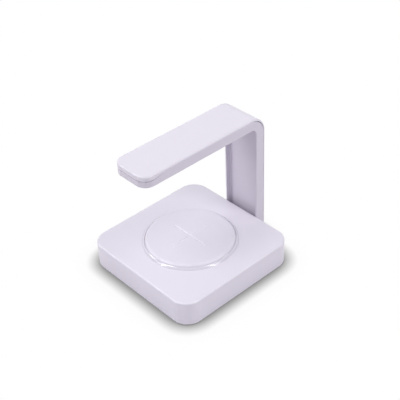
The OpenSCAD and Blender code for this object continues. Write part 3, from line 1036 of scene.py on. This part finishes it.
@dataclass
class PressButton(Assembly):
    """Pill-shaped button with a rounded edge and a shallow dish for the fingertip."""

    depth: float = 3.9 * MM
    flange: float = 1.0 * MM
    flange_t: float = 1.2 * MM
    edge: float = 0.45 * MM
    edge_steps: int = 5
    dish: float = 0.16 * MM
    dish_inset: float = 0.35 * MM
    dish_shares: tuple[float, ...] = (0.2, 0.5, 0.3)
    stem_inset: float = 1.7 * MM

    def face(self, bench: Bench) -> None:
        """Rounds the outer edge of the selected face and sinks its dish.

        Args:
            bench: the bench that holds the button.
        """
        turn = math.pi / 2 / self.edge_steps
        for part in range(self.edge_steps):
            last, angle = turn * part, turn * (part + 1)
            bench.inset(self.edge * (math.cos(last) - math.cos(angle)))
            bench.shift((0.0, self.edge * (math.sin(angle) - math.sin(last)), 0.0))
        for share in self.dish_shares:
            bench.inset(self.dish_inset)
            bench.shift((0.0, -self.dish * share, 0.0))

    def build(self) -> None:
        """Models the button from its flange outwards and its stem inwards."""
        low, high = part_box("power_button")
        back = high.y - self.depth
        wide, tall = high.x - low.x, high.z - low.z
        centre = ((low.x + high.x) / 2, back, (low.z + high.z) / 2)
        bench = Bench("button_cap")
        bench.drum((centre[0], back + self.flange_t / 2, centre[2]), tall / 2, self.flange_t)
        for side in (-1, 1):
            bench.points(lambda place: (place.x - centre[0]) * side > CLEAR)
            bench.shift((side * (wide - tall) / 2, 0.0, 0.0))
        bench.faces(facing(Axis.Y, 1))
        bench.inset(self.flange)
        bench.push((0.0, self.depth - self.edge - self.flange_t, 0.0))
        self.face(bench)
        bench.faces(facing(Axis.Y, -1))
        bench.inset(self.stem_inset)
        stem = (tall - 2 * self.stem_inset) / (wide - 2 * self.stem_inset)
        bench.size((stem, 1.0, 1.0), centre)
        bench.push((0.0, low.y - back, 0.0))
        button = bench.finish(smooth=40.0)
        self.dress(button, "housing_white", "housing_white", Body.BUTTON)
        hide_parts("power_button")


# Board


@dataclass
class ChipLegs(Assembly):
    """Gull-wing legs along two sides of the control chip."""

    count: int = 8
    pitch: float = 0.8 * MM
    width: float = 0.34 * MM
    sheet: float = 0.15 * MM
    root: float = 0.1 * MM
    shoulder: float = 0.2 * MM
    bend: float = 0.25 * MM
    foot: float = 0.55 * MM
    edge: float = 0.05 * MM

    def build(self) -> None:
        """Bends one leg, copies it along the side and turns the row to the other side."""
        low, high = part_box("control_chip")
        centre = (low + high) / 2
        first = centre.y - self.pitch * (self.count - 1) / 2
        bench = Bench("chip_legs")
        bench.block(
            (high.x - self.root, first - self.width / 2, centre.z - self.sheet / 2),
            (high.x + self.shoulder, first + self.width / 2, centre.z + self.sheet / 2),
        )
        bench.faces(facing(Axis.X, 1))
        bench.push((self.bend, 0.0, low.z + self.sheet / 2 - centre.z))
        bench.push((self.foot, 0.0, 0.0))
        bench.edges(lambda middle, along: abs(along.y) > STRAIGHT and middle.x > high.x + CLEAR)
        bench.soften(self.edge)
        steps = [(0.0, self.pitch * n, 0.0) for n in range(1, self.count)]
        row = join("chip_legs", copies(bench.finish(), steps))
        both = join("chip_legs", [row, turned_copy(row, centre)])
        self.dress(both, "solder_tin", "inlet_steel")


@dataclass
class MetalEnds(Assembly):
    """Metal caps that wrap the ends of the capacitors and of the inductor."""

    capacitors: tuple[str, ...] = (
        "tuning_capacitor_1", "tuning_capacitor_2", "tuning_capacitor_3", "tuning_capacitor_4")
    wrap: float = 0.7 * MM
    proud: float = 0.04 * MM
    edge: float = 0.14 * MM
    sink: float = 0.1 * MM
    terminal_w: float = 4.0 * MM
    terminal_h: float = 1.8 * MM
    terminal_t: float = 0.25 * MM
    terminal_edge: float = 0.12 * MM
    tip_inset: float = 0.05 * MM
    tip: float = 0.06 * MM

    def cap(self) -> Piece:
        """Models the left cap of a capacitor.

        Returns:
            The cap.
        """
        low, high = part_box(self.capacitors[0])
        bench = Bench("capacitor_ends")
        bench.block(
            (low.x - self.proud, low.y - self.proud, low.z),
            (low.x + self.wrap, high.y + self.proud, high.z + self.proud),
        )
        half = low.x + self.wrap / 2
        bench.edges(lambda middle, along: middle.z > low.z + CLEAR and middle.x < half)
        bench.soften(self.edge, 3)
        bench.faces(facing(Axis.X, 1))
        bench.inset(self.proud)
        bench.push((-self.sink, 0.0, 0.0))
        return bench.finish()

    def terminal(self) -> Piece:
        """Models the right terminal of the inductor, folded under its body.

        Returns:
            The terminal.
        """
        low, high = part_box("power_inductor")
        middle_y = (low.y + high.y) / 2
        bench = Bench("inductor_ends")
        bench.block(
            (high.x, middle_y - self.terminal_w / 2, low.z),
            (high.x + self.terminal_t, middle_y + self.terminal_w / 2, low.z + self.terminal_h),
        )
        bench.edges(lambda middle, along: abs(along.y) > STRAIGHT and middle.x > high.x + CLEAR)
        bench.soften(self.terminal_edge, 3)
        bench.faces(facing(Axis.Z, 1))
        bench.inset(self.tip_inset)
        bench.push((0.0, 0.0, self.tip))
        return bench.finish()

    def build(self) -> None:
        """Builds both ends of each capacitor and of the inductor."""
        low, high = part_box(self.capacitors[0])
        left = self.cap()
        pair = join("capacitor_ends", [left, turned_copy(left, (low + high) / 2)])
        steps = [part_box(node)[0] - low for node in self.capacitors[1:]]
        self.dress(join("capacitor_ends", copies(pair, steps)), "solder_tin", "inlet_steel")
        low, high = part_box("power_inductor")
        right = self.terminal()
        ends = join("inductor_ends", [right, turned_copy(right, (low + high) / 2)])
        self.dress(ends, "solder_tin", "inlet_steel")


@dataclass
class SmallParts(Assembly):
    """Small resistors and capacitors round the control chip, placed in millimetres."""

    places: tuple[Pair, ...] = (
        (8.0, 13.5), (8.0, 15.5), (8.0, 17.5), (8.0, 23.0), (8.0, 25.0),
        (-8.0, 14.0), (-8.0, 16.0), (-8.0, 22.5), (-8.0, 24.5), (-8.0, 26.5),
        (-11.5, 18.0), (-11.5, 20.0), (1.5, 28.5), (-2.0, 28.5))
    length: float = 2.0 * MM
    width: float = 1.25 * MM
    height: float = 0.55 * MM
    wrap: float = 0.4 * MM
    edge: float = 0.07 * MM
    top_inset: float = 0.08 * MM
    top_rise: float = 0.04 * MM

    def build(self) -> None:
        """Models one part as a body and two ends, and copies both to every place."""
        x, y = (value * MM for value in self.places[0])
        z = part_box("main_board")[1].z
        front, back, top = y - self.width / 2, y + self.width / 2, z + self.height
        inner, outer = x + self.length / 2 - self.wrap, x + self.length / 2
        body = Bench("small_part_bodies")
        body.block((x - self.length / 2 + self.wrap, front, z), (inner, back, top))
        body.faces(facing(Axis.Z, 1))
        body.inset(self.top_inset)
        body.push((0.0, 0.0, self.top_rise))
        end = Bench("small_part_ends")
        end.block((inner, front, z), (outer, back, top))
        end.edges(lambda middle, along: middle.z > z + CLEAR)
        end.soften(self.edge)
        right = end.finish()
        left = copies(right, [(self.wrap - self.length, 0.0, 0.0)])[1]
        steps = [(a * MM - x, b * MM - y, 0.0) for a, b in self.places[1:]]
        bodies = copies(body.finish(), steps)
        ends = copies(join("small_part_ends", [right, left]), steps)
        self.dress(join("small_part_bodies", bodies), "chip_black", "chip_black")
        self.dress(join("small_part_ends", ends), "solder_tin", "inlet_steel")


@dataclass
class SolderJoints(Assembly):
    """Tin cones where leads and pins meet the board, with their profile in millimetres."""

    leads: Piece
    profile: tuple[Pair, ...] = (
        (0.0, 0.0), (0.85, 0.0), (0.6, 0.1), (0.42, 0.28), (0.33, 0.5), (0.22, 0.62), (0.0, 0.66))
    sides: int = 20
    lead_layer: float = 0.15 * MM
    lead_end: float = 0.7 * MM
    beside: float = 0.5 * MM
    switch_inset: float = 0.8 * MM
    inlet_inset: float = 1.6 * MM
    socket_inset: float = 1.5 * MM

    def places(self) -> list[Pair]:
        """Where the joints stand.

        Returns:
            Plan places in metres.
        """
        corners = [corner.co for corner in self.leads.data.vertices]
        floor = min(place.z for place in corners) + self.lead_layer
        found = []
        for side in (-1, 1):
            near = [place for place in corners if place.z < floor and place.x * side > 0]
            end = max(near, key=lambda place: place.y)
            found.append((side * min(abs(place.x) for place in near), end.y - self.lead_end))
        low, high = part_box("tact_switch")
        rows = (low.y + self.switch_inset, high.y - self.switch_inset)
        found += [(x, y) for x in (low.x - self.beside, high.x + self.beside) for y in rows]
        low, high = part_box("usb_inlet_shell")
        y = low.y + self.inlet_inset
        found += [(x, y) for x in (low.x - self.beside, high.x + self.beside)]
        low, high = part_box("lamp_socket")
        pins = (low.x + self.socket_inset, 0.0, high.x - self.socket_inset)
        found += [(x, low.y - self.beside) for x in pins]
        return found

    def build(self) -> None:
        """Spins one joint and copies it to every place."""
        (x, y), *others = self.places()
        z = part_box("main_board")[1].z
        bench = Bench("solder_joints")
        bench.turned((x, y, z), [(r * MM, h * MM) for r, h in self.profile], self.sides)
        first = bench.finish(smooth=60.0)
        joints = copies(first, [(a - x, b - y, 0.0) for a, b in others])
        self.dress(join("solder_joints", joints), "solder_tin", "inlet_steel")


# Setting


@dataclass(frozen=True)
class Lamp:
    """One upright softbox that faces the part, placed as the camera is.

    Its size is width and height. A lamp for gloss only adds highlights and no matt light.
    """

    name: str
    azimuth: float
    elevation: float
    size: Pair
    watts: float
    gloss_only: bool = False


@dataclass
class Studio:
    """Floor, soft light and the camera at the photograph's place."""

    azimuth: float = 48.7106
    elevation: float = 36.9755
    roll: float = -2.7685
    lens: float = 79.51
    sensor: float = 36.0
    clip: Pair = (0.01, 50.0)
    target: Point = (0.0272042, -0.0131538, 0.0745598)
    distance: float = 0.560640
    lamps: tuple[Lamp, ...] = (
        Lamp("front_softbox", -26.0, 45.0, (0.35, 1.1), 6.2),
        Lamp("right_softbox", 107.0, 43.0, (0.35, 1.1), 5.3),
        Lamp("left_softbox", -79.0, 40.0, (0.6, 0.6), 2.3),
        Lamp("rear_softbox", 155.0, 48.0, (0.25, 0.25), 1.0),
        Lamp("front_strip", -19.0, 43.0, (0.1, 1.15), 6.0, gloss_only=True),
        Lamp("right_strip", 101.0, 43.0, (0.1, 1.15), 5.0, gloss_only=True),
        Lamp("left_strip", -62.0, 42.0, (0.25, 0.25), 2.3, gloss_only=True),
    )
    lamp_reach: float = 1.3
    lamp_aim: float = 0.03
    sky_colour: Colour = (1.0, 0.965, 1.015)
    sky_strength: float = 0.5
    floor_size: float = 6.0
    floor_drop: float = 0.02 * MM
    floor_colour: Colour = (0.66, 0.635, 0.67)
    shadow_near: Pair = (0.0105, 1.6)
    shadow_wide: Pair = (0.022, 0.1)
    shadow_depth: float = 0.27
    shadow_samples: int = 32

    def direction(self, azimuth: float, elevation: float) -> Vector:
        """Unit vector towards a place seen at an azimuth and an elevation.

        Args:
            azimuth: degrees, 0 in front of the part and 90 at its right.
            elevation: degrees above the horizon.

        Returns:
            The vector.
        """
        a, e = math.radians(azimuth), math.radians(elevation)
        return Vector((math.sin(a) * math.cos(e), -math.cos(a) * math.cos(e), math.sin(e)))

    def place_camera(self) -> None:
        """Creates the camera of the photograph."""
        back = self.direction(self.azimuth, self.elevation)
        a, r = math.radians(self.azimuth), math.radians(self.roll)
        level = Vector((math.cos(a), math.sin(a), 0.0))
        up = back.cross(level)
        right = math.cos(r) * level + math.sin(r) * up
        top = -math.sin(r) * level + math.cos(r) * up
        data = bpy.data.cameras.new("camera")
        data.lens, data.sensor_width, data.sensor_fit = self.lens, self.sensor, "AUTO"
        data.clip_start, data.clip_end = self.clip
        camera = bpy.data.objects.new("camera", data)
        bpy.context.scene.collection.objects.link(camera)
        rows = [(right[n], top[n], back[n], self.target[n] + back[n] * self.distance) for n in Axis]
        camera.matrix_world = Matrix((*rows, (0.0, 0.0, 0.0, 1.0)))
        bpy.context.scene.camera = camera

    def hang(self, lamp: Lamp) -> None:
        """Adds one lamp, turned to the part.

        Args:
            lamp: the lamp.
        """
        data = bpy.data.lights.new(lamp.name, "AREA")
        data.shape, data.energy = "RECTANGLE", lamp.watts
        data.size, data.size_y = lamp.size
        hung = bpy.data.objects.new(lamp.name, data)
        bpy.context.scene.collection.objects.link(hung)
        towards = self.direction(lamp.azimuth, lamp.elevation)
        hung.location = Vector((0.0, 0.0, self.lamp_aim)) + towards * self.lamp_reach
        hung.rotation_mode = "QUATERNION"
        hung.rotation_quaternion = towards.to_track_quat("Z", "Y")
        hung.visible_diffuse = not lamp.gloss_only

    def open_sky(self) -> None:
        """Lights the part softly from all round, and shows white where the sky is seen."""
        world = bpy.data.worlds.new("studio")
        bpy.context.scene.world = world
        world.use_nodes = True
        nodes, links = world.node_tree.nodes, world.node_tree.links
        sky = nodes["Background"]
        sky.inputs["Color"].default_value = (*self.sky_colour, 1.0)
        sky.inputs["Strength"].default_value = self.sky_strength
        white = nodes.new("ShaderNodeBackground")
        white.inputs["Color"].default_value = (1.0, 1.0, 1.0, 1.0)
        seen = total(world.node_tree, nodes.new("ShaderNodeLightPath"), SEEN)
        mix = nodes.new("ShaderNodeMixShader")
        links.new(seen.outputs["Value"], mix.inputs["Fac"])
        links.new(sky.outputs["Background"], mix.inputs[1])
        links.new(white.outputs["Background"], mix.inputs[2])
        links.new(mix.outputs["Shader"], nodes["World Output"].inputs["Surface"])

    def lay_floor(self) -> None:
        """Lays the pale floor just under the mat."""
        deselect()
        under = (0.0, 0.0, -self.floor_drop)
        bpy.ops.mesh.primitive_plane_add(size=self.floor_size, location=under)
        floor = bpy.context.active_object
        floor.name = "floor"
        settle()
        floor.data.materials.append(self.floor_material())

    def floor_material(self) -> bpy.types.Material:
        """Pale floor that shows white, with the part's contact shadow.

        Returns:
            The new material.
        """
        graph = Graph(bpy.data.materials.new("floor_white"))
        tree = graph.tree
        graph.set(Base_Color=self.floor_colour, Roughness=0.9, Specular_IOR_Level=0.1)
        dark = maths(tree, "MULTIPLY")
        graph.join(self.openness(graph, self.shadow_near), "Value", dark, 0)
        graph.join(self.openness(graph, self.shadow_wide), "Value", dark, 1)
        deepest = maths(tree, "MAXIMUM", self.shadow_depth)
        graph.join(dark, "Value", deepest, 0)
        white = tree.nodes.new("ShaderNodeEmission")
        graph.join(deepest, "Value", white, "Strength")
        seen = total(tree, tree.nodes.new("ShaderNodeLightPath"), SEEN)
        mix = tree.nodes.new("ShaderNodeMixShader")
        graph.join(seen, "Value", mix, "Fac")
        graph.join(graph.shader, "BSDF", mix, 1)
        graph.join(white, "Emission", mix, 2)
        graph.join(mix, "Shader", graph.output, "Surface")
        return graph.material

    def openness(self, graph: Graph, shadow: Pair) -> Node:
        """How open the floor is at a point, raised to a power.

        Args:
            graph: the floor's node graph.
            shadow: reach in metres and power.

        Returns:
            The power node, whose output is Value.
        """
        reach, power = shadow
        node = graph.tree.nodes.new("ShaderNodeAmbientOcclusion")
        node.samples = self.shadow_samples
        node.inputs["Distance"].default_value = reach
        curve = maths(graph.tree, "POWER", power)
        graph.join(node, "AO", curve, 0)
        return curve

    def build(self) -> None:
        """Builds the whole setting."""
        self.place_camera()
        for lamp in self.lamps:
            self.hang(lamp)
        self.open_sky()
        self.lay_floor()
        bpy.context.scene.view_settings.view_transform = "Standard"


def main() -> None:
    """Builds everything in order."""
    logging.basicConfig(level=logging.INFO, format="%(name)s: %(message)s")
    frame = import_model()
    Studio().build()
    LOG.info("setting done")
    made = Palette().dress(frame)
    LOG.info("finishes done")
    for kind in (PadRing, LampDiodes, InletContacts, PressButton, ChipLegs, MetalEnds, SmallParts):
        kind(made).build()
        LOG.info("%s done", kind.__name__)
    SolderJoints(made, frame["nodes"]["coil_leads"]).build()
    LOG.info("SolderJoints done")


if __name__ == "__main__":
    main()
